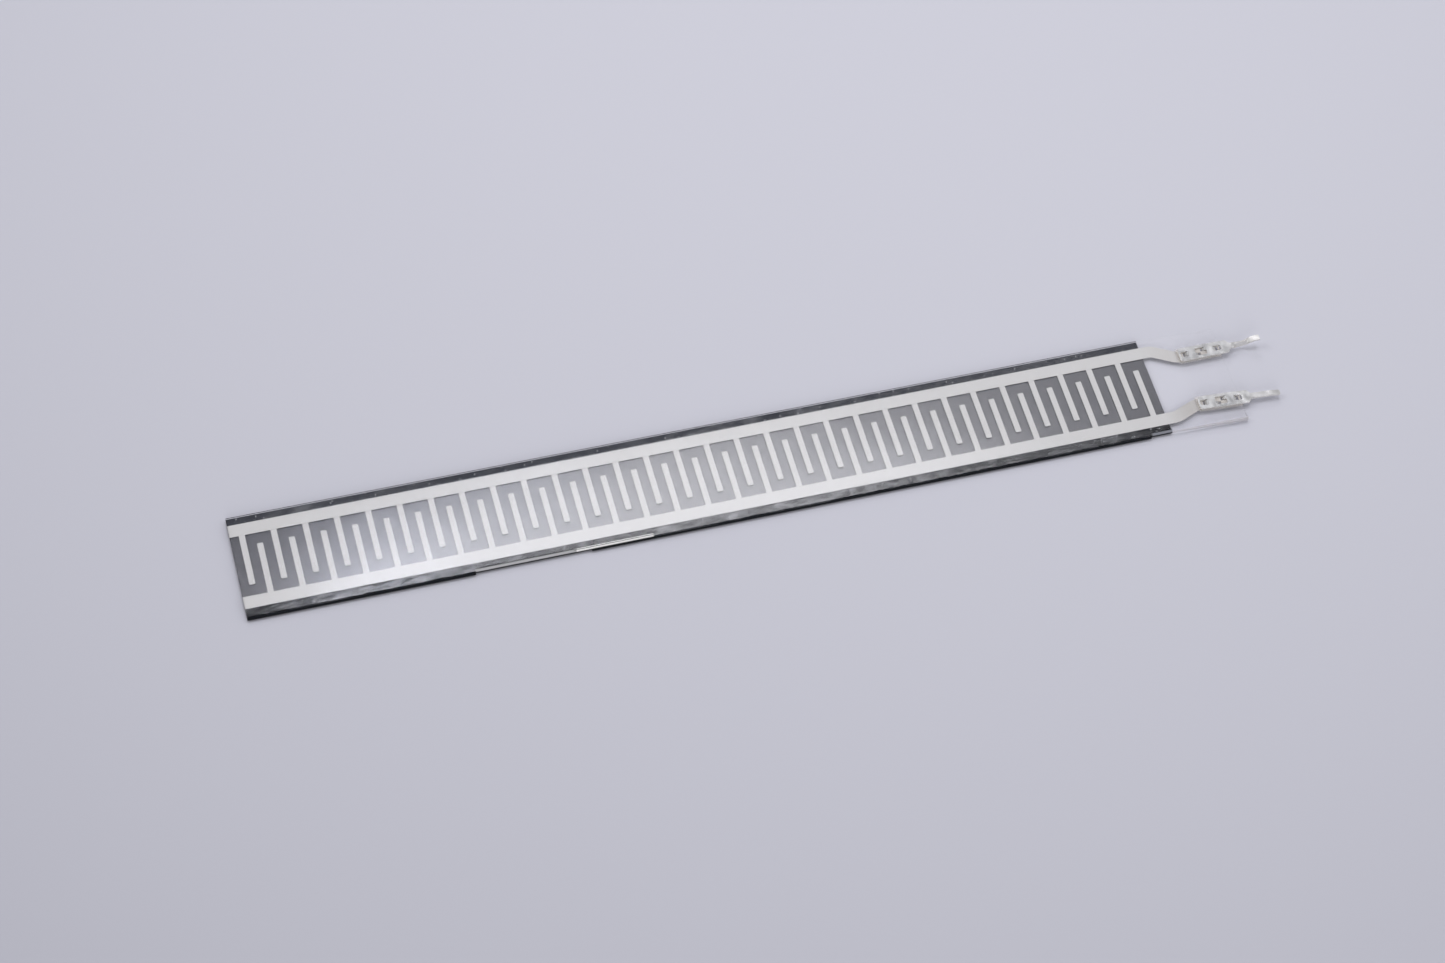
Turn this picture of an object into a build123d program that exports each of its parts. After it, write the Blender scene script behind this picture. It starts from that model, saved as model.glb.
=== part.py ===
import os
from math import radians, tan

from build123d import *

# A laminated pressure sensing strip with a clear tail and two crimped solder tabs, in millimetres.
# +X runs along the strip towards the tabs, +Y to the far long edge and +Z up. Plan sizes are taken
# from the strip's cut end and from the middle line of its silver print.

# Strip
strip_length = 100.0
far_edge = 5.95
near_edge = 6.1
wide_lip = 0.22
narrow_lip = 0.17
lip_gap_start = 23.7
lip_gap_end = 36.0
lip_end_gap = 2.4
deep_cut_length = 10.4
shallow_cut_length = 8.5
end_cut_length = 2.3
deep_cut = 0.33
shallow_cut = 0.2
rear_inset = 0.1

# Silver print
bus_inner = 3.64
bus_width = 1.43
finger_pitch = 3.302
finger_width = 0.635
first_finger_x = 1.27
tip_gap = 1.29
tip_corner = 0.08

# Spacer frame
spacer_inset = 0.03
spacer_print_gap = 0.06

# Tail and the silver tracks on it
tail_length = 8.6
tail_skew = 2.0
track_run = 1.1
track_jog = 2.5
track_bend = 1.4
track_end_gap = 0.35

# Thickness of each layer
rear_thickness = 0.05
film_thickness = 0.13
spacer_thickness = 0.15
print_thickness = 0.02
sheet_thickness = 0.2

# Solder tabs
tab_pitch = 6.4
tab_shift = 0.2
tab_on_tail = 4.7
tab_length = 5.9
tab_width = 1.57
tab_corner = 0.3
tab_shoulder = 0.4
near_tab_turn = -3.5
pin_width = 0.64
pin_length = 3.3
pin_chamfer = 0.12
pin_tip_droop = 0.12
pin_tip_length = 0.9
pin_twist = 76.0
pin_twist_length = 0.9
pin_edgewise_length = 0.7
pin_rise = 0.55

# Windows in each tab and the lances bent out of them
first_window_x = 0.65
window_spacing = 1.86
end_window_length = 0.95
end_window_width = 0.66
middle_window_length = 1.3
middle_window_width = 0.96
window_corner = 0.2
end_lance_width = 0.5
middle_lance_width = 0.32
lance_bend = 0.2
lance_curl = 0.1
lance_foot = 0.3
pierce_clearance = 0.03
tear_length = 0.22

# Heights: the clinched lances lie lowest, and the tail's lower film rests on them
base_z = sheet_thickness
rear_z = base_z - rear_thickness
carbon_z = base_z + film_thickness
upper_film_z = carbon_z + spacer_thickness
silver_z = upper_film_z - print_thickness
tab_z = upper_film_z + film_thickness
laminate = tab_z - base_z
stack_height = tab_z + sheet_thickness

tail_end = strip_length + tail_length
tail_drift = tail_length * tan(radians(tail_skew))
tab_x = tail_end - tab_on_tail
far_tab_y = tab_pitch / 2 - tab_shift
near_tab_y = -tab_pitch / 2 - tab_shift


def block(x0, x1, y0, y1, z0, z1):
    """A box between two corners."""
    size = (x1 - x0, y1 - y0, z1 - z0)
    corner = (Align.MIN, Align.MIN, Align.MIN)
    return Pos(x0, y0, z0) * Box(*size, align=corner)


def sheet(plan, z, thickness):
    """A flat sheet of the given plan with its lower face at height z."""
    return extrude(Pos(0, 0, z) * plan, thickness)


def film_plan():
    """The strip with its tail, which was cut a little askew."""
    return Polygon(
        (0, -near_edge),
        (strip_length, -near_edge),
        (tail_end, -near_edge - tail_drift),
        (tail_end, far_edge - tail_drift),
        (strip_length, far_edge),
        (0, far_edge),
        align=None,
    )


def lips(z, thickness):
    """The stretches of the near edge where a lower layer stands out past the upper film."""
    spans = [
        (0, lip_gap_start, wide_lip),
        (lip_gap_end, strip_length - lip_end_gap, narrow_lip),
    ]
    return [
        block(x0, x1, -near_edge - width, -near_edge, z, z + thickness)
        for x0, x1, width in spans
    ]


def edge_cuts():
    """Slivers that are missing from the near edge of the upper film, which show the adhesive."""
    deep_end = lip_gap_start + deep_cut_length
    shallow_end = deep_end + shallow_cut_length
    spans = [
        (lip_gap_start, deep_end, deep_cut),
        (deep_end, shallow_end, shallow_cut),
        (strip_length - end_cut_length, strip_length, deep_cut),
    ]
    return [
        block(x0, x1, -near_edge - wide_lip, depth - near_edge, upper_film_z, tab_z)
        for x0, x1, depth in spans
    ]


def finger(x, side):
    """One finger of an electrode, rounded at its tip and sunk in the bus at its root."""
    tip_y = tip_gap - bus_inner
    root_y = bus_inner + tip_corner
    bar = RectangleRounded(finger_width, root_y - tip_y, tip_corner)
    return Pos(x, side * (root_y + tip_y) / 2) * bar


def electrode(side, tab_y):
    """One bus with its fingers, and the track that jogs from the bus to its tab."""
    bus_y = side * (bus_inner + bus_width / 2)
    jog_x = strip_length + track_run
    route = FilletPolyline(
        (0, bus_y),
        (jog_x, bus_y),
        (jog_x + track_jog, tab_y),
        (tail_end - track_end_gap, tab_y),
        radius=track_bend,
    )
    plan = trace(route, bus_width)
    start_x = first_finger_x if side > 0 else first_finger_x + finger_pitch / 2
    count = int((strip_length - finger_width - start_x) / finger_pitch) + 1
    for i in range(count):
        plan += finger(start_x + i * finger_pitch, side)
    return sheet(plan, silver_z, print_thickness)


def lance(width):
    """A tongue bent down off a window's end, through the tail, and curled back under it."""
    inner, outer = lance_bend, lance_bend + sheet_thickness
    curl_x = lance_bend - lance_curl
    curl_z = lance_curl - laminate
    foot_x = curl_x - lance_foot
    curl_outer = lance_curl + sheet_thickness
    edges = [
        CenterArc((0, -lance_bend), inner, 0, 90),
        Line((inner, -lance_bend), (inner, curl_z)),
        CenterArc((curl_x, curl_z), lance_curl, 270, 90),
        Line((curl_x, -laminate), (foot_x, -laminate)),
        Line((foot_x, -laminate), (foot_x, -laminate - sheet_thickness)),
        Line((foot_x, -laminate - sheet_thickness), (curl_x, -laminate - sheet_thickness)),
        CenterArc((curl_x, curl_z), curl_outer, 270, 90),
        Line((outer, curl_z), (outer, -lance_bend)),
        CenterArc((0, -lance_bend), outer, 0, 90),
        Line((0, sheet_thickness), (0, 0)),
    ]
    return extrude(Plane.XZ * make_face(edges), width / 2, both=True)


def lance_places():
    """Where each lance hinges on a tab: x, y, the way it points along x, and its width."""
    middle_x = first_window_x + window_spacing
    last_x = middle_x + window_spacing
    half_end = end_window_length / 2
    half_middle = middle_window_length / 2
    lane_y = middle_window_width / 4
    return [
        (first_window_x + half_end, 0, -1, end_lance_width),
        (middle_x - half_middle, -lane_y, 1, middle_lance_width),
        (middle_x + half_middle, lane_y, -1, middle_lance_width),
        (last_x - half_end, 0, 1, end_lance_width),
    ]


def windows():
    """The three openings stamped through a tab."""
    middle_x = first_window_x + window_spacing
    end = RectangleRounded(end_window_length, end_window_width, window_corner)
    middle = RectangleRounded(middle_window_length, middle_window_width, window_corner)
    plan = Pos(first_window_x, 0) * end
    plan += Pos(middle_x, 0) * middle
    plan += Pos(middle_x + window_spacing, 0) * end
    return extrude(plan, sheet_thickness)


def tab_body():
    """The tab's flat plate with its windows and clinched lances, on the tail's upper face."""
    half, pin_half = tab_width / 2, pin_width / 2
    plan = Polygon(
        (0, -half),
        (tab_length - tab_shoulder, -half),
        (tab_length, -pin_half),
        (tab_length, pin_half),
        (tab_length - tab_shoulder, half),
        (0, half),
        align=None,
    )
    plan = fillet(plan.vertices().group_by(Axis.X)[0], tab_corner)
    body = extrude(plan, sheet_thickness) - windows()
    for x, y, way, width in lance_places():
        turned = lance(width) if way > 0 else Rot(0, 0, 180) * lance(width)
        body += Pos(x, y, 0) * turned
    return body


def pierced():
    """The slits that the lances tear through the laminate, a little longer than each lance."""
    reach = lance_bend + sheet_thickness + tear_length
    slits = []
    for x, y, way, width in lance_places():
        half = width / 2 + pierce_clearance
        start, end = sorted((x - way * pierce_clearance, x + way * reach))
        slits.append(block(start, end, y - half, y + half, -stack_height, stack_height))
    return slits


def straight_pin():
    """A flat pin with its tip bent down a little and its corners cut."""
    bend_x = tab_length + pin_length - pin_tip_length
    tip_x = tab_length + pin_length
    side = Polygon(
        (tab_length, 0),
        (bend_x, 0),
        (tip_x, -pin_tip_droop),
        (tip_x, sheet_thickness - pin_tip_droop),
        (bend_x, sheet_thickness),
        (tab_length, sheet_thickness),
        align=None,
    )
    pin = extrude(Plane.XZ * side, pin_width / 2, both=True)
    upright = pin.edges().filter_by(Axis.Z).group_by(Axis.X)[-1]
    return chamfer(upright, pin_chamfer)


def ease(value):
    """A smooth step from 0 to 1."""
    share = min(max(value, 0), 1)
    return share * share * (3 - 2 * share)


def twisted_pin():
    """A pin that turns on edge, turns back and then rises to its tip."""
    back_x = pin_twist_length + pin_edgewise_length
    free_length = pin_length - back_x
    steps = 16
    sections = []
    for i in range(steps + 1):
        x = pin_length * i / steps
        turned = ease(x / pin_twist_length) - ease((x - back_x) / pin_twist_length)
        rise = pin_rise * ease((x - back_x + free_length / 4) / free_length)
        origin = (tab_length + x, 0, sheet_thickness / 2 + rise)
        across = Plane(origin, x_dir=(0, 1, 0), z_dir=(1, 0, 0))
        sections.append(across * Rectangle(pin_width, sheet_thickness, pin_twist * turned))
    return loft(sections, ruled=True)


far_place = Pos(tab_x, far_tab_y, tab_z)
near_place = Pos(tab_x, near_tab_y, tab_z) * Rot(0, 0, near_tab_turn)
slits = [place * slit for place in (far_place, near_place) for slit in pierced()]

far_silver = electrode(1, far_tab_y)
near_silver = electrode(-1, near_tab_y)
strip_block = block(0, strip_length, -near_edge, far_edge, carbon_z, carbon_z + print_thickness)
carbon = strip_block + lips(carbon_z, print_thickness)
base = sheet(film_plan(), base_z, film_thickness) + lips(base_z, film_thickness)
upper = sheet(film_plan(), upper_film_z, film_thickness) - edge_cuts()

frame_inner = bus_inner + bus_width + spacer_print_gap
spacer_plan = offset(film_plan(), -spacer_inset, kind=Kind.INTERSECTION)
window = block(0, strip_length, -frame_inner, frame_inner, carbon_z, upper_film_z)
spacer = sheet(spacer_plan, carbon_z, spacer_thickness) - window - carbon - far_silver - near_silver

rear = block(0, strip_length, rear_inset - near_edge, far_edge - rear_inset, rear_z, base_z)

parts = {
    "conductive_film": upper - slits,
    "far_electrode": far_silver - slits,
    "near_electrode": near_silver - slits,
    "spacer_adhesive": spacer - slits,
    "carbon_layer": carbon,
    "base_film": base - slits,
    "rear_adhesive": rear,
    "far_contact": far_place * (tab_body() + twisted_pin()),
    "near_contact": near_place * (tab_body() + straight_pin()),
}

# The frame's origin is under the middle of the whole part, at the height that it rests on
whole = Compound(children=[part.solids()[0] for part in parts.values()]).bounding_box()
middle = whole.center()
to_frame = Pos(-middle.X, -middle.Y, -whole.min.Z)

os.makedirs("parts", exist_ok=True)
for name, part in parts.items():
    placed = to_frame * part
    placed.label = name
    export_step(placed, f"parts/{name}.step")
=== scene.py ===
from math import pi, radians, tan

import bpy
import numpy as np
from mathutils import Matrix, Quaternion, Vector

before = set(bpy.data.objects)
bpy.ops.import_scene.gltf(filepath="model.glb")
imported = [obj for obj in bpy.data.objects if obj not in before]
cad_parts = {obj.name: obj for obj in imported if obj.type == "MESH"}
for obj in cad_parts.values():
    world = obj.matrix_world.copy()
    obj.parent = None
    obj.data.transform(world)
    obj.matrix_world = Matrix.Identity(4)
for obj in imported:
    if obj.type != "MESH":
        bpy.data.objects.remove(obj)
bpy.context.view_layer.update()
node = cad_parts

# Base film: the lower sheet of clear polyester, about 0.13 mm thick, slit to width with a blade. It
# carries the black print and, past it, the clear tail. Its faces are glassy and its cut edges frosted.
mm = 0.001
strip_start = -56.55 * mm
strip_length = 100 * mm
black_end = strip_start + strip_length
print_middle = 0.225 * mm
near_edge = print_middle - 6.1 * mm
near_margin = -5 * mm
white = "#ffffff"
# The frosted grey of cut edges is lightened with painted light, for the light that such an edge carries
# in from inside the film
frosted_and_lit_grey = "#d2d0d4"


def linear(code):
    """An sRGB hex colour as linear red, green, blue and alpha."""
    parts = np.array([int(code[i : i + 2], 16) for i in (1, 3, 5)]) / 255
    light = np.where(parts <= 0.04045, parts / 12.92, ((parts + 0.055) / 1.055) ** 2.4)
    return (*light.tolist(), 1.0)


def add(tree, kind, links=None, **settings):
    """Adds a node, sets its properties, and fills its sockets with values or with links."""
    made = tree.nodes.new(kind)
    for name, value in settings.items():
        setattr(made, name, value)
    for socket, value in (links or {}).items():
        if isinstance(value, bpy.types.NodeSocket):
            tree.links.new(value, made.inputs[socket])
        else:
            made.inputs[socket].default_value = value
    return made


def material(name):
    """A new finish: its material, its tree of nodes, and the place on the piece that it covers."""
    made = bpy.data.materials.new(name)
    made.use_nodes = True
    made.node_tree.nodes.clear()
    return made, made.node_tree, add(made.node_tree, "ShaderNodeTexCoord").outputs["Object"]


def dress(finish, shader, *pieces):
    """Ends a finish with its shader, and covers whole pieces with it."""
    add(finish.node_tree, "ShaderNodeOutputMaterial", {"Surface": shader.outputs[0]})
    for piece in pieces:
        piece.data.materials.clear()
        piece.data.materials.append(finish)
        for polygon in piece.data.polygons:
            polygon.material_index = 0


def set_back(*pieces):
    """Draws each face in by two microns, so that touching layers keep their own surfaces."""
    for piece in pieces:
        made = piece.modifiers.new("set_back", "DISPLACE")
        made.strength = -0.002 * mm
        made.mid_level = 0


def clear_film(name, open_side, strip_edge, strip_cover, wear=None):
    """Clear film: it lets light through, and the face that meets the air mirrors a little.

    The open side is 1 for the upper face and -1 for the lower one. The cut edges scatter light. Along
    the strip they take the black of the print, and along the tail the near one is frosted, in a grey
    lightened with painted light. The wear of a film that was pressed and pierced, with the painted light
    that lifts the shade by its tabs, is worked out by a function of its own."""
    finish, tree, place = material(name)
    apart = add(tree, "ShaderNodeSeparateXYZ", {"Vector": place})
    on_strip = add(tree, "ShaderNodeMath", {0: apart.outputs["X"], 1: black_end}, operation="LESS_THAN")
    off_strip = add(tree, "ShaderNodeMath", {0: 1.0, 1: on_strip.outputs[0]}, operation="SUBTRACT")
    # The sheet swells softly, with about 7 mm from one swell to the next
    wave = add(
        tree,
        "ShaderNodeTexNoise",
        {"Vector": place, "Scale": 1 / (7 * mm), "Detail": 1.0, "Roughness": 0.4},
    )
    relief = add(
        tree,
        "ShaderNodeBump",
        {"Height": wave.outputs["Fac"], "Strength": 1.0, "Distance": 0.015 * mm},
    )
    # The tail was cut askew, and the wedge that it has outside the strip's own line is not glued
    wedge = add(
        tree,
        "ShaderNodeMapRange",
        {
            "Value": apart.outputs["Y"],
            "From Min": near_edge - 0.03 * mm,
            "From Max": near_edge + 0.02 * mm,
            "To Min": 0.5,
            "To Max": 0.0,
        },
    )
    haze_and_painted_light = add(
        tree, "ShaderNodeMath", {0: wedge.outputs[0], 1: off_strip.outputs[0]}, operation="MULTIPLY"
    )
    rubbed = []
    # Where the tabs pierce the tail the film is milky, and that milky tone is also painted light that
    # lifts the shade by the tabs
    if wear:
        relief, kept, milky = wear(tree, place, apart, on_strip, relief)
        rubbed.append(kept)
        haze_and_painted_light = add(tree, "ShaderNodeMath", {0: haze_and_painted_light.outputs[0], 1: milky.outputs[0]}, operation="MAXIMUM")

    face = add(tree, "ShaderNodeNewGeometry")
    tilt = add(tree, "ShaderNodeSeparateXYZ", {"Vector": face.outputs["True Normal"]})
    in_air = add(
        tree,
        "ShaderNodeMath",
        {0: tilt.outputs["Z"], 1: float(open_side), 2: 0.5},
        operation="COMPARE",
    )
    front = add(
        tree,
        "ShaderNodeMath",
        {0: in_air.outputs[0], 1: face.outputs["Backfacing"]},
        operation="SUBTRACT",
        use_clamp=True,
    )
    # Light for a shadow passes whole, because what the sheet mirrors away comes back from below
    ray = add(tree, "ShaderNodeLightPath")
    seen = add(tree, "ShaderNodeMath", {0: 1.0, 1: ray.outputs["Is Shadow Ray"]}, operation="SUBTRACT")
    mirror = add(tree, "ShaderNodeFresnel", {"IOR": 1.57, "Normal": relief.outputs[0]})
    for share in (front, *rubbed, seen):
        mirror = add(
            tree, "ShaderNodeMath", {0: mirror.outputs[0], 1: share.outputs[0]}, operation="MULTIPLY"
        )
    clear = add(tree, "ShaderNodeBsdfTransparent", {"Color": linear(white)})
    gloss = add(
        tree,
        "ShaderNodeBsdfGlossy",
        {"Color": linear(white), "Roughness": 0.1, "Normal": relief.outputs[0]},
    )
    sheet = add(
        tree, "ShaderNodeMixShader", {0: mirror.outputs[0], 1: clear.outputs[0], 2: gloss.outputs[0]}
    )
    # Next to the tabs the milky tone is light, and it is also painted light that lifts the shade there;
    # on the wedge it is darker
    by_edge = add(tree, "ShaderNodeMath", {0: apart.outputs["Y"], 1: near_margin}, operation="LESS_THAN")
    haze_and_painted_light_tone = add(
        tree,
        "ShaderNodeMix",
        {0: by_edge.outputs[0], 6: linear("#d0cbc6"), 7: linear("#bab8bc")},
        data_type="RGBA",
    )
    hazy_and_painted_light = add(
        tree,
        "ShaderNodeBsdfPrincipled",
        {"Base Color": haze_and_painted_light_tone.outputs[2], "Roughness": 0.5, "Specular IOR Level": 0.2},
    )
    sheet = add(
        tree, "ShaderNodeMixShader", {0: haze_and_painted_light.outputs[0], 1: sheet.outputs[0], 2: hazy_and_painted_light.outputs[0]}
    )

    # The near edge of the tail is cut rough, and the others are clean. The frosted grey of its cut edges
    # is lightened with painted light
    is_near = add(tree, "ShaderNodeMath", {0: apart.outputs["Y"], 1: near_edge}, operation="LESS_THAN")
    tail_cover = add(
        tree, "ShaderNodeMapRange", {"Value": is_near.outputs[0], "To Min": 0.06, "To Max": 0.9}
    )
    cover = add(
        tree, "ShaderNodeMix", {0: on_strip.outputs[0], 2: tail_cover.outputs[0], 3: strip_cover}
    )
    tone = add(
        tree,
        "ShaderNodeMix",
        {0: on_strip.outputs[0], 6: linear(frosted_and_lit_grey), 7: linear(strip_edge)},
        data_type="RGBA",
    )
    frosted = add(
        tree,
        "ShaderNodeBsdfPrincipled",
        {"Base Color": tone.outputs[2], "Roughness": 0.42, "Specular IOR Level": 0.2},
    )
    edge = add(
        tree, "ShaderNodeMixShader", {0: cover.outputs[0], 1: clear.outputs[0], 2: frosted.outputs[0]}
    )
    flat = add(tree, "ShaderNodeMath", {0: tilt.outputs["Z"]}, operation="ABSOLUTE")
    is_flat = add(tree, "ShaderNodeMath", {0: flat.outputs[0], 1: 0.5}, operation="GREATER_THAN")
    whole = add(
        tree, "ShaderNodeMixShader", {0: is_flat.outputs[0], 1: edge.outputs[0], 2: sheet.outputs[0]}
    )
    return finish, whole


dress(*clear_film("base_polyester_film", -1, "#0a0b0f", 0.97), node["base_film"])
set_back(node["base_film"])

# Rear adhesive: a thin film of clear tape adhesive rolled on under the black strip. It holds the
# sensor down. It is faintly yellow, and small bubbles were trapped under it.
finish, tree, place = material("clear_tape_adhesive")
bubble = add(
    tree,
    "ShaderNodeTexNoise",
    {"Vector": place, "Scale": 1 / (0.8 * mm), "Detail": 3.0, "Roughness": 0.6},
)
cover = add(
    tree,
    "ShaderNodeMapRange",
    {"Value": bubble.outputs["Fac"], "From Min": 0.45, "From Max": 0.75, "To Min": 0.08, "To Max": 0.3},
)
clear = add(tree, "ShaderNodeBsdfTransparent", {"Color": linear("#f4f1e6")})
tacky = add(
    tree,
    "ShaderNodeBsdfPrincipled",
    {"Base Color": linear("#b9b4a6"), "Roughness": 0.3, "IOR": 1.48},
)
whole = add(tree, "ShaderNodeMixShader", {0: cover.outputs[0], 1: clear.outputs[0], 2: tacky.outputs[0]})
dress(finish, whole, node["rear_adhesive"])
set_back(node["rear_adhesive"])

# Carbon print: black pressure sensitive ink screened on the base film and baked. Dry in the open
# window it is a satin graphite grey, and where the adhesive wets it or it lies bare it is black.
window_half = 5.13 * mm


def from_middle_line(tree, apart):
    """How far a place lies from the print's middle line, first with its sign and then without."""
    signed = add(tree, "ShaderNodeMath", {0: apart.outputs["Y"], 1: print_middle}, operation="SUBTRACT")
    return signed, add(tree, "ShaderNodeMath", {0: signed.outputs[0]}, operation="ABSOLUTE")


def screen_grain(tree, place, size, roughness, depth):
    """The grain that a printing screen leaves in ink: its noise, and the relief that goes with it."""
    noise = add(
        tree,
        "ShaderNodeTexNoise",
        {"Vector": place, "Scale": 1 / size, "Detail": 3.0, "Roughness": roughness},
    )
    relief = add(
        tree, "ShaderNodeBump", {"Height": noise.outputs["Fac"], "Strength": 0.3, "Distance": depth}
    )
    return noise, relief


finish, tree, place = material("screened_carbon_ink")
apart = add(tree, "ShaderNodeSeparateXYZ", {"Vector": place})
across, out = from_middle_line(tree, apart)
grit, grain = screen_grain(tree, place, 0.12 * mm, 0.7, 0.004 * mm)
dry_tone = add(
    tree,
    "ShaderNodeMix",
    {0: grit.outputs["Fac"], 6: linear("#32323a"), 7: linear("#3e3e47")},
    data_type="RGBA",
)
dry_ink = add(
    tree,
    "ShaderNodeBsdfPrincipled",
    {"Base Color": dry_tone.outputs[2], "Roughness": 0.14, "IOR": 1.69, "Normal": grain.outputs[0]},
)
# The adhesive of the far rail wetted it less
is_far = add(tree, "ShaderNodeMath", {0: across.outputs[0], 1: 0.0}, operation="GREATER_THAN")
wet_tone = add(
    tree,
    "ShaderNodeMix",
    {0: is_far.outputs[0], 6: linear("#0f1218"), 7: linear("#33353d")},
    data_type="RGBA",
)
wet_ink = add(
    tree,
    "ShaderNodeBsdfPrincipled",
    {
        "Base Color": wet_tone.outputs[2],
        "Roughness": 0.6,
        "Specular IOR Level": 0.08,
        "Normal": grain.outputs[0],
    },
)
wet = add(tree, "ShaderNodeMath", {0: out.outputs[0], 1: window_half}, operation="GREATER_THAN")
ink = add(tree, "ShaderNodeMixShader", {0: wet.outputs[0], 1: dry_ink.outputs[0], 2: wet_ink.outputs[0]})
dress(finish, ink, node["carbon_layer"])
set_back(node["carbon_layer"])

# Spacer adhesive: the die-cut frame of double-sided adhesive that holds the films apart. Pressed
# between them it is clear but for pits, and chalky where the upper film leaves it bare.
strip_middle = strip_start + strip_length / 2
roller_wave = 47 * mm
roller_crest = -1.55 * mm
bare_line = print_middle - 5.75 * mm
bare_stretches = (23.7 * mm, 42.6 * mm), (97.7 * mm, 100 * mm)
shallow_cut_start = 34.1 * mm
dull_end_start = 70 * mm


def pits(tree, place, size, detail, roughness):
    """Noise for the pits that the liner left: its grid is turned, and it is drawn out along the strip."""
    drawn_out = add(
        tree,
        "ShaderNodeMapping",
        {"Vector": place, "Rotation": (0, 0, radians(-40)), "Scale": (0.5, 1, 1)},
    )
    return add(
        tree,
        "ShaderNodeTexNoise",
        {"Vector": drawn_out.outputs[0], "Scale": 1 / size, "Detail": detail, "Roughness": roughness},
    )


finish, tree, place = material("spacer_adhesive_film")
apart = add(tree, "ShaderNodeSeparateXYZ", {"Vector": place})
on_strip = add(tree, "ShaderNodeMath", {0: apart.outputs["X"], 1: black_end}, operation="LESS_THAN")
off_strip = add(tree, "ShaderNodeMath", {0: 1.0, 1: on_strip.outputs[0]}, operation="SUBTRACT")
pit = pits(tree, place, 0.9 * mm, 4.0, 0.6)
cloud = add(
    tree,
    "ShaderNodeMapRange",
    {"Value": pit.outputs["Fac"], "From Min": 0.44, "From Max": 0.68, "To Min": 0.0, "To Max": 0.3},
)
nearer = add(
    tree,
    "ShaderNodeMapRange",
    {
        "Value": apart.outputs["Y"],
        "From Min": near_margin,
        "From Max": 0.0,
        "To Min": 1.0,
        "To Max": 0.35,
    },
)
# Both ends were pressed hardest and are the clearest
along = add(tree, "ShaderNodeMath", {0: strip_middle, 1: apart.outputs["X"]}, operation="SUBTRACT")
along = add(tree, "ShaderNodeMath", {0: along.outputs[0]}, operation="ABSOLUTE")
less_pressed = add(
    tree,
    "ShaderNodeMapRange",
    {"Value": along.outputs[0], "From Min": 41 * mm, "From Max": 48 * mm, "To Min": 1.0, "To Max": 0.0},
)
# The roller left long waves in it, more cloud on each crest
turns = 2 * pi / roller_wave
wave = add(
    tree,
    "ShaderNodeMath",
    {0: apart.outputs["X"], 1: turns, 2: -roller_crest * turns},
    operation="MULTIPLY_ADD",
)
wave = add(tree, "ShaderNodeMath", {0: wave.outputs[0]}, operation="COSINE")
drift = add(
    tree,
    "ShaderNodeMapRange",
    {"Value": wave.outputs[0], "From Min": -1.0, "From Max": 1.0, "To Min": 0.05, "To Max": 1.0},
)
for share in (on_strip, nearer, less_pressed, drift):
    cloud = add(
        tree, "ShaderNodeMath", {0: cloud.outputs[0], 1: share.outputs[0]}, operation="MULTIPLY"
    )
dust = add(
    tree,
    "ShaderNodeTexVoronoi",
    {"Vector": place, "Scale": 1 / (1.3 * mm)},
    voronoi_dimensions="2D",
)
speck = add(
    tree,
    "ShaderNodeMapRange",
    {
        "Value": dust.outputs["Distance"],
        "From Min": 0.03,
        "From Max": 0.08,
        "To Min": 0.4,
        "To Max": 0.0,
    },
)
speck = add(tree, "ShaderNodeMath", {0: speck.outputs[0], 1: on_strip.outputs[0]}, operation="MULTIPLY")
cloud = add(tree, "ShaderNodeMath", {0: cloud.outputs[0], 1: speck.outputs[0]}, operation="MAXIMUM")
clear = add(tree, "ShaderNodeBsdfTransparent", {"Color": linear(white)})
milky = add(
    tree,
    "ShaderNodeBsdfPrincipled",
    {"Base Color": linear("#c2c3c9"), "Roughness": 0.5, "IOR": 1.48},
)
whole = add(tree, "ShaderNodeMixShader", {0: cloud.outputs[0], 1: clear.outputs[0], 2: milky.outputs[0]})
# Its bare rim is dusty grey and duller at the end by the tail. Along the shallow cut it is white, a
# painted highlight where the torn edge catches the light
stretches = []
for start, end in bare_stretches:
    centre = strip_start + (start + end) / 2
    stretch = {0: apart.outputs["X"], 1: centre, 2: (end - start) / 2}
    stretches.append(add(tree, "ShaderNodeMath", stretch, operation="COMPARE"))
first, second = stretches
bare = add(tree, "ShaderNodeMath", {0: first.outputs[0], 1: second.outputs[0]}, operation="ADD")
outside = add(tree, "ShaderNodeMath", {0: apart.outputs["Y"], 1: bare_line}, operation="LESS_THAN")
bare = add(tree, "ShaderNodeMath", {0: bare.outputs[0], 1: outside.outputs[0]}, operation="MULTIPLY")
part_way = add(
    tree,
    "ShaderNodeMapRange",
    {"Value": apart.outputs["X"], "From Min": strip_start, "From Max": black_end},
)
rim_tone_and_highlight = add(tree, "ShaderNodeValToRGB", {"Fac": part_way.outputs[0]})
ramp = rim_tone_and_highlight.color_ramp
ramp.interpolation = "CONSTANT"
ramp.elements[0].color = linear("#a6a6a8")
# The white of the shallow cut is a painted highlight
ramp.elements[1].position = shallow_cut_start / strip_length
ramp.elements[1].color = linear("#f0f0ee")
ramp.elements.new(dull_end_start / strip_length).color = linear("#767880")
chalky = add(
    tree,
    "ShaderNodeBsdfPrincipled",
    {"Base Color": rim_tone_and_highlight.outputs["Color"], "Roughness": 0.5, "IOR": 1.48},
)
whole = add(tree, "ShaderNodeMixShader", {0: bare.outputs[0], 1: whole.outputs[0], 2: chalky.outputs[0]})
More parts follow.
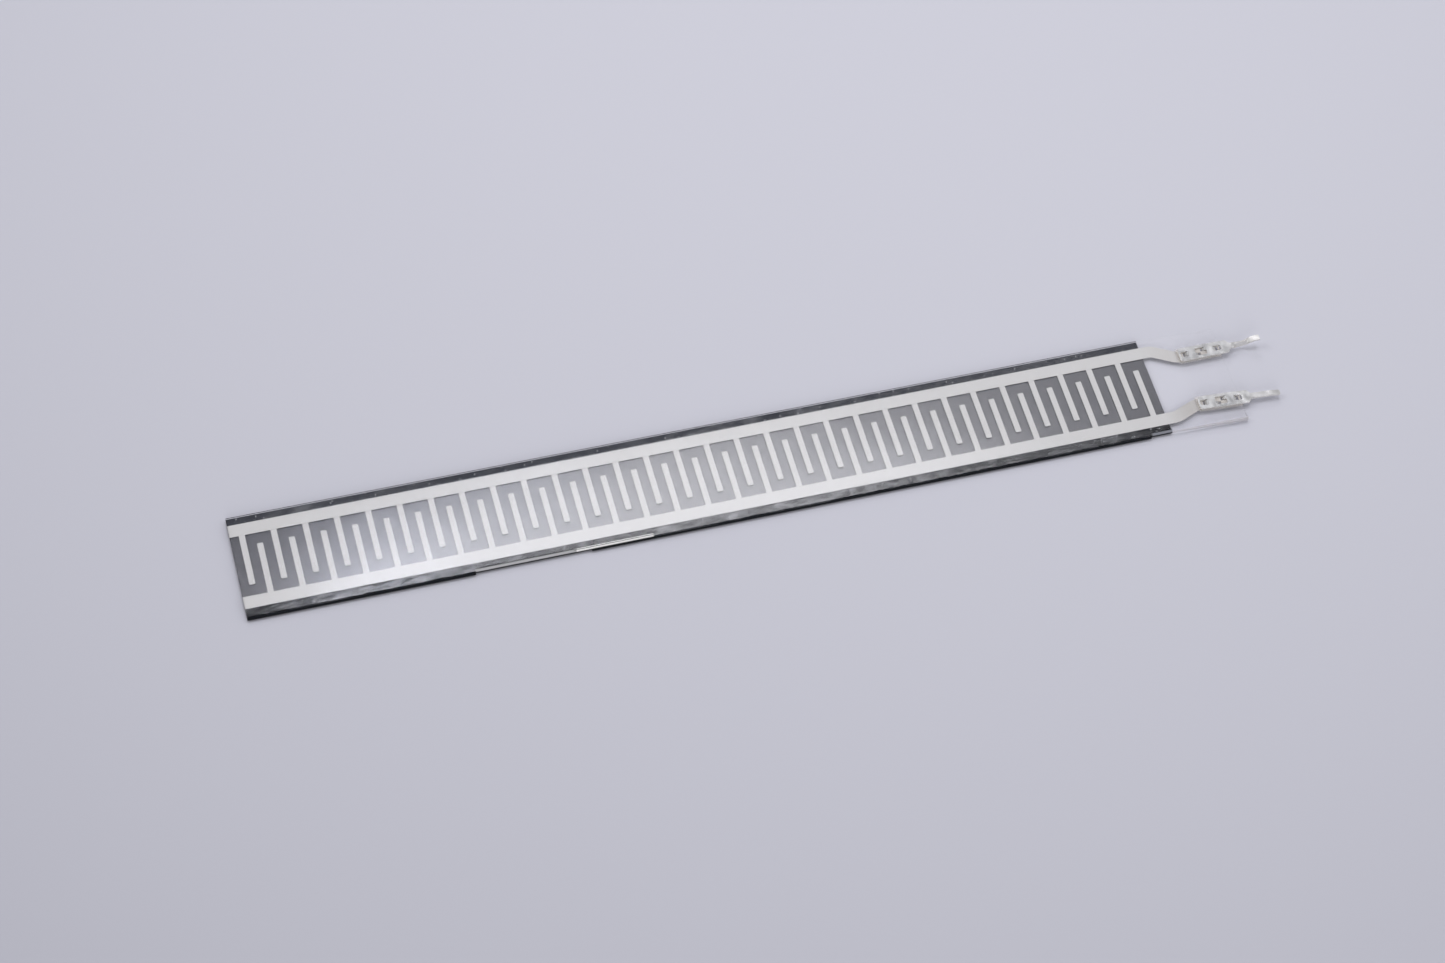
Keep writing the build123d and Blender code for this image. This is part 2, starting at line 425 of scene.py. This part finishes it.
# Its cut edge is frosted along the near side of the tail, in a grey lightened with painted light
face = add(tree, "ShaderNodeNewGeometry")
tilt = add(tree, "ShaderNodeSeparateXYZ", {"Vector": face.outputs["True Normal"]})
cut = add(tree, "ShaderNodeMath", {0: tilt.outputs["Z"], 1: 0.0, 2: 0.5}, operation="COMPARE")
outer = add(tree, "ShaderNodeMath", {0: apart.outputs["Y"], 1: near_margin}, operation="LESS_THAN")
for share in (off_strip, outer):
    cut = add(tree, "ShaderNodeMath", {0: cut.outputs[0], 1: share.outputs[0]}, operation="MULTIPLY")
cut = add(tree, "ShaderNodeMath", {0: cut.outputs[0], 1: 0.85}, operation="MULTIPLY")
frosted = add(
    tree,
    "ShaderNodeBsdfPrincipled",
    {"Base Color": linear(frosted_and_lit_grey), "Roughness": 0.5, "Specular IOR Level": 0.2},
)
whole = add(tree, "ShaderNodeMixShader", {0: cut.outputs[0], 1: whole.outputs[0], 2: frosted.outputs[0]})
dress(finish, whole, node["spacer_adhesive"])
set_back(node["spacer_adhesive"])

# Silver print: silver filled ink screened on the underside of the upper film, which is one bus,
# thirty fingers and a track for each side. Baked, it is a matte, nearly white metal grey.
finish, tree, place = material("screened_silver_ink")
apart = add(tree, "ShaderNodeSeparateXYZ", {"Vector": place})
grit, grain = screen_grain(tree, place, 0.15 * mm, 0.65, 0.003 * mm)
cool = add(
    tree,
    "ShaderNodeMix",
    {0: grit.outputs["Fac"], 6: linear("#bab9b9"), 7: linear("#c5c4c4")},
    data_type="RGBA",
)
# On the tail, where no black print lies under it, it is a little warmer
on_tail = add(
    tree,
    "ShaderNodeMapRange",
    {"Value": apart.outputs["X"], "From Min": black_end, "From Max": black_end + 2.5 * mm},
)
to_far_side = add(
    tree, "ShaderNodeMapRange", {"Value": apart.outputs["Y"], "From Min": -3 * mm, "From Max": 3 * mm}
)
warm = add(
    tree,
    "ShaderNodeMix",
    {0: to_far_side.outputs[0], 6: linear("#b1aeac"), 7: linear("#bcbab9")},
    data_type="RGBA",
)
tone = add(
    tree,
    "ShaderNodeMix",
    {0: on_tail.outputs[0], 6: cool.outputs[2], 7: warm.outputs[2]},
    data_type="RGBA",
)
ink = add(
    tree,
    "ShaderNodeBsdfPrincipled",
    {"Base Color": tone.outputs[2], "Metallic": 0.15, "Roughness": 0.6, "Normal": grain.outputs[0]},
)
dress(finish, ink, node["far_electrode"], node["near_electrode"])
set_back(node["far_electrode"], node["near_electrode"])

# Conductive film: the clear upper sheet that carries the silver print on its underside. It was slit
# a little short of the lower layers along parts of the near edge, and the tabs pierce its tail.
tab_x = 47.35 * mm
far_tab_y = 3.225 * mm
near_tab_y = -3.175 * mm
near_tab_slope = tan(radians(3.5))
pressed_slope = tan(radians(2))


def pressed_pierced_and_painted_light(tree, place, apart, on_strip, relief):
    """The film's wear: its relief, the share of its mirror that is kept, and how milky it is, where the
    milky tone is also painted light that lifts the shade by the tabs.
    """
    # Over the adhesive rails it follows small pits, about 0.7 mm across
    across, out = from_middle_line(tree, apart)
    rail = add(tree, "ShaderNodeMath", {0: out.outputs[0], 1: window_half}, operation="GREATER_THAN")
    rail = add(tree, "ShaderNodeMath", {0: rail.outputs[0], 1: on_strip.outputs[0]}, operation="MULTIPLY")
    pit = pits(tree, place, 0.7 * mm, 2.0, 0.5)
    sunk = add(tree, "ShaderNodeMath", {0: pit.outputs["Fac"], 1: rail.outputs[0]}, operation="MULTIPLY")
    # The blade pressed it down by two degrees between the print and the far edge
    rim = add(tree, "ShaderNodeMath", {0: window_half, 1: across.outputs[0]}, operation="SUBTRACT")
    rim = add(tree, "ShaderNodeMath", {0: rim.outputs[0], 1: 0.0}, operation="MINIMUM")
    rim = add(tree, "ShaderNodeMath", {0: rim.outputs[0], 1: on_strip.outputs[0]}, operation="MULTIPLY")
    for height, scale in ((sunk, 0.012 * mm), (rim, pressed_slope)):
        relief = add(
            tree,
            "ShaderNodeBump",
            {
                "Height": height.outputs[0],
                "Strength": 1.0,
                "Distance": scale,
                "Normal": relief.outputs[0],
            },
        )

    # The rails are rubbed dull in patches
    dull = add(
        tree,
        "ShaderNodeMapRange",
        {"Value": pit.outputs["Fac"], "From Min": 0.4, "From Max": 0.62, "To Min": 0.42, "To Max": -0.1},
    )
    dull = add(tree, "ShaderNodeMath", {0: dull.outputs[0], 1: rail.outputs[0]}, operation="MULTIPLY")
    kept = add(tree, "ShaderNodeMath", {0: 1.0, 1: dull.outputs[0]}, operation="SUBTRACT")

    # Along the line of each tab, where the lances pierce the tail, it has turned milky. That light milky
    # band is also painted light: it lifts the shade next to each tab and at its end on the track.
    from_lines = []
    for tab_y, slope in ((far_tab_y, 0.0), (near_tab_y, near_tab_slope)):
        level = add(
            tree,
            "ShaderNodeMath",
            {0: apart.outputs["X"], 1: slope, 2: apart.outputs["Y"]},
            operation="MULTIPLY_ADD",
        )
        line = tab_y + tab_x * slope
        offset = add(tree, "ShaderNodeMath", {0: level.outputs[0], 1: line}, operation="SUBTRACT")
        from_lines.append(add(tree, "ShaderNodeMath", {0: offset.outputs[0]}, operation="ABSOLUTE"))
    far, near = from_lines
    nearest = add(tree, "ShaderNodeMath", {0: far.outputs[0], 1: near.outputs[0]}, operation="MINIMUM")
    whitening_and_painted_light = add(
        tree,
        "ShaderNodeMapRange",
        {
            "Value": nearest.outputs[0],
            "From Min": 0.6 * mm,
            "From Max": 1.05 * mm,
            "To Min": 0.75,
            "To Max": 0.0,
        },
    )
    past_start = add(
        tree,
        "ShaderNodeMapRange",
        {"Value": apart.outputs["X"], "From Min": tab_x - 0.3 * mm, "From Max": tab_x + 0.1 * mm},
    )
    milky = add(
        tree, "ShaderNodeMath", {0: whitening_and_painted_light.outputs[0], 1: past_start.outputs[0]}, operation="MULTIPLY"
    )
    return relief, kept, milky


upper_film = clear_film("printed_polyester_film", 1, "#1a1a1c", 0.85, pressed_pierced_and_painted_light)
dress(*upper_film, node["conductive_film"])
set_back(node["conductive_film"])

# Solder tabs: stamped from 0.2 mm bronze strip and tinned. Lances bent out of their windows pierce
# the tail and are clinched under it. Tin is a soft bright grey, browner in the torn bends, and it carries
# painted light: painted highlights, and lighter tones that lift its shade.
finish, tree, place = material("tinned_bronze")
apart = add(tree, "ShaderNodeSeparateXYZ", {"Vector": place})
crystals = add(
    tree,
    "ShaderNodeTexNoise",
    {"Vector": place, "Scale": 1 / (0.25 * mm), "Detail": 3.0, "Roughness": 0.6},
)
# The tin is mottled, and its lighter patches are also painted highlights, for light caught on the plate's
# dimples
flow = add(
    tree,
    "ShaderNodeTexNoise",
    {"Vector": place, "Scale": 1 / (1.1 * mm), "Detail": 1.0, "Roughness": 0.5},
)
mottle_and_highlight = add(
    tree, "ShaderNodeMapRange", {"Value": flow.outputs["Fac"], "From Min": 0.35, "From Max": 0.65}
)
tin = add(
    tree,
    "ShaderNodeMix",
    {0: mottle_and_highlight.outputs[0], 6: linear("#a3a3a4"), 7: linear("#bebebe")},
    data_type="RGBA",
)
low = add(
    tree,
    "ShaderNodeMapRange",
    {
        "Value": apart.outputs["Z"],
        "From Min": 0.5 * mm,
        "From Max": 0.7 * mm,
        "To Min": 1.0,
        "To Max": 0.0,
    },
)
# The sheared sides are painted lighter, lifting their shade, and the pins, the one bent up most, carry a
# painted highlight
face = add(tree, "ShaderNodeNewGeometry")
tilt = add(tree, "ShaderNodeSeparateXYZ", {"Vector": face.outputs["True Normal"]})
bright = add(
    tree,
    "ShaderNodeMapRange",
    {"Value": tilt.outputs["Z"], "From Min": 0.3, "From Max": 0.8, "To Min": 1.0, "To Max": 0.0},
)
raised = add(
    tree,
    "ShaderNodeMapRange",
    {"Value": apart.outputs["Z"], "From Min": 0.84 * mm, "From Max": 1.1 * mm},
)
on_pin = add(
    tree,
    "ShaderNodeMapRange",
    {
        "Value": apart.outputs["X"],
        "From Min": tab_x + 5.3 * mm,
        "From Max": tab_x + 5.9 * mm,
        "To Min": 0.0,
        "To Max": 0.3,
    },
)
for share in (raised, on_pin):
    bright = add(
        tree, "ShaderNodeMath", {0: bright.outputs[0], 1: share.outputs[0]}, operation="MAXIMUM"
    )
# Painted light on the end that lies on the track, lifting the contact shadow along it
painted_end_light = add(
    tree,
    "ShaderNodeMapRange",
    {"Value": tilt.outputs["X"], "From Min": -0.9, "From Max": -0.3, "To Min": 1.0, "To Max": 0.0},
)
on_track = add(
    tree, "ShaderNodeMath", {0: apart.outputs["X"], 1: tab_x + 0.3 * mm}, operation="LESS_THAN"
)
painted_end_light = add(tree, "ShaderNodeMath", {0: painted_end_light.outputs[0], 1: on_track.outputs[0]}, operation="MULTIPLY")
# Low in the torn bends the tin is browner, and this tone is also painted light: it is lighter than the
# tin and lifts the shade in the windows
tone = tin
for share, colour in ((low, "#cfc0b2"), (bright, "#d8d6d4"), (painted_end_light, "#f0edea")):
    tone = add(
        tree,
        "ShaderNodeMix",
        {0: share.outputs[0], 6: tone.outputs[2], 7: linear(colour)},
        data_type="RGBA",
    )
rough = add(
    tree, "ShaderNodeMapRange", {"Value": crystals.outputs["Fac"], "To Min": 0.38, "To Max": 0.46}
)
soft = add(
    tree,
    "ShaderNodeBump",
    {"Height": crystals.outputs["Fac"], "Strength": 0.4, "Distance": 0.01 * mm},
)
dimpled = add(
    tree,
    "ShaderNodeBump",
    {
        "Height": flow.outputs["Fac"],
        "Strength": 1.0,
        "Distance": 0.25 * mm,
        "Normal": soft.outputs[0],
    },
)
metal = add(
    tree,
    "ShaderNodeBsdfPrincipled",
    {
        "Base Color": tone.outputs[2],
        "Metallic": 0.3,
        "Roughness": rough.outputs[0],
        "Normal": dimpled.outputs[0],
    },
)
tabs = node["far_contact"], node["near_contact"]
dress(finish, metal, *tabs)
for tab in tabs:
    joined = tab.modifiers.new("joined", "WELD")
    joined.merge_threshold = 0.001 * mm
    rounded = tab.modifiers.new("tumbled_edges", "BEVEL")
    rounded.width = 0.05 * mm
    rounded.segments = 2
    rounded.limit_method = "ANGLE"
    rounded.angle_limit = radians(35)

# Floor: a wide sheet of matte card in a pale grey with a breath of lavender. A pool of light is painted
# on it, lightest just beyond the strip and darker away from there.
half_width = 3.0
painted_light_centre = (0.035, 0.075, 0)
painted_light_reach = 0.17
finish, tree, place = material("matte_pale_card")
away = add(tree, "ShaderNodeVectorMath", {0: place, 1: painted_light_centre}, operation="DISTANCE")
square = add(tree, "ShaderNodeMath", {0: away.outputs["Value"], 1: 2.0}, operation="POWER")
painted_light_falloff = add(
    tree,
    "ShaderNodeMapRange",
    {"Value": square.outputs[0], "From Min": 0.0, "From Max": painted_light_reach**2},
)
tone = add(
    tree,
    "ShaderNodeMix",
    {0: painted_light_falloff.outputs[0], 6: linear("#cacad3"), 7: linear("#b1b1ba")},
    data_type="RGBA",
)
card = add(
    tree,
    "ShaderNodeBsdfPrincipled",
    {"Base Color": tone.outputs[2], "Roughness": 0.9, "Specular IOR Level": 0.1},
)
corners = [(x * half_width, y * half_width, 0) for x, y in ((-1, -1), (1, -1), (1, 1), (-1, 1))]
floor_mesh = bpy.data.meshes.new("floor")
floor_mesh.from_pydata(corners, [], [(0, 1, 2, 3)])
floor = bpy.data.objects.new("floor", floor_mesh)
bpy.context.scene.collection.objects.link(floor)
dress(finish, card, floor)

# Studio light: an even white room, and round softboxes. The first four hang about a metre up beyond
# the strip, where its films mirror them as a long glare, and the other four light it from all sides.
world = bpy.data.worlds.new("studio")
bpy.context.scene.world = world
world.use_nodes = True
room = world.node_tree.nodes["Background"].inputs
room["Color"].default_value = linear("#fafafe")
room["Strength"].default_value = 0.36


def softbox(name, place, aim, width, radiance, colour):
    """A round lamp of the given width that faces its aim with the given radiance."""
    lamp = bpy.data.lights.new(name, "AREA")
    lamp.shape = "DISK"
    lamp.size = width
    lamp.energy = radiance * pi * width * width / 4 * pi
    lamp.color = linear(colour)[:3]
    made = bpy.data.objects.new(name, lamp)
    bpy.context.scene.collection.objects.link(made)
    made.location = place
    made.rotation_euler = (Vector(aim) - Vector(place)).to_track_quat("-Z", "Y").to_euler()


softbox("overhead", (0.182, 0.348, 1.0), (0.182, 0.347, 0.0), 0.56, 4.55, "#f9f9ff")
softbox("shelf", (0.37, 0.66, 1.0), (0.37, 0.659, 0.0), 0.2, 0.7, "#fafaff")
softbox("window", (0.045, 0.562, 0.98), (0.045, 0.561, 0.0), 0.075, 4.4, "#e8ebff")
softbox("skylight", (0.112, 0.615, 0.99), (0.112, 0.614, 0.0), 0.09, 0.9, "#dde4ff")
softbox("left", (-1.0, 0.5, 1.1), (0, 0, 0), 0.8, 3.3, white)
softbox("right", (1.1, -0.1, 0.9), (0, 0, 0), 0.8, 2.3, white)
softbox("front", (-0.3, -1.2, 0.55), (0, 0, 0), 0.8, 3.4, white)
softbox("back", (0.1, 1.3, 1.0), (0, 0, 0), 0.6, 4.5, white)

# Camera: over the near left of the strip, a third of a metre away. It looks down and is turned a little
# about its view, with a wide margin of card on every side.
image_width = 1445
focal_pixels = 3218
sensor_width = 36
camera_place = Vector((-67.838, -172.133, 285.192)) * mm
camera_aim = Vector((-5.249, -1.013, 0.48)) * mm
camera_roll = radians(5.895)
camera_data = bpy.data.cameras.new("camera")
camera_data.sensor_width = sensor_width
camera_data.lens = focal_pixels / image_width * sensor_width
camera_data.clip_start = 0.01
camera_data.clip_end = 20
camera = bpy.data.objects.new("camera", camera_data)
bpy.context.scene.collection.objects.link(camera)
camera.location = camera_place
look = (camera_aim - camera_place).to_track_quat("-Z", "Y")
camera.rotation_mode = "QUATERNION"
camera.rotation_quaternion = look @ Quaternion((0, 0, 1), camera_roll)
bpy.context.scene.camera = camera

# A ray that looks through the tail and back to a lamp crosses a dozen clear faces
bpy.context.scene.cycles.transparent_max_bounces = 32

bpy.context.scene.view_settings.view_transform = "Standard"
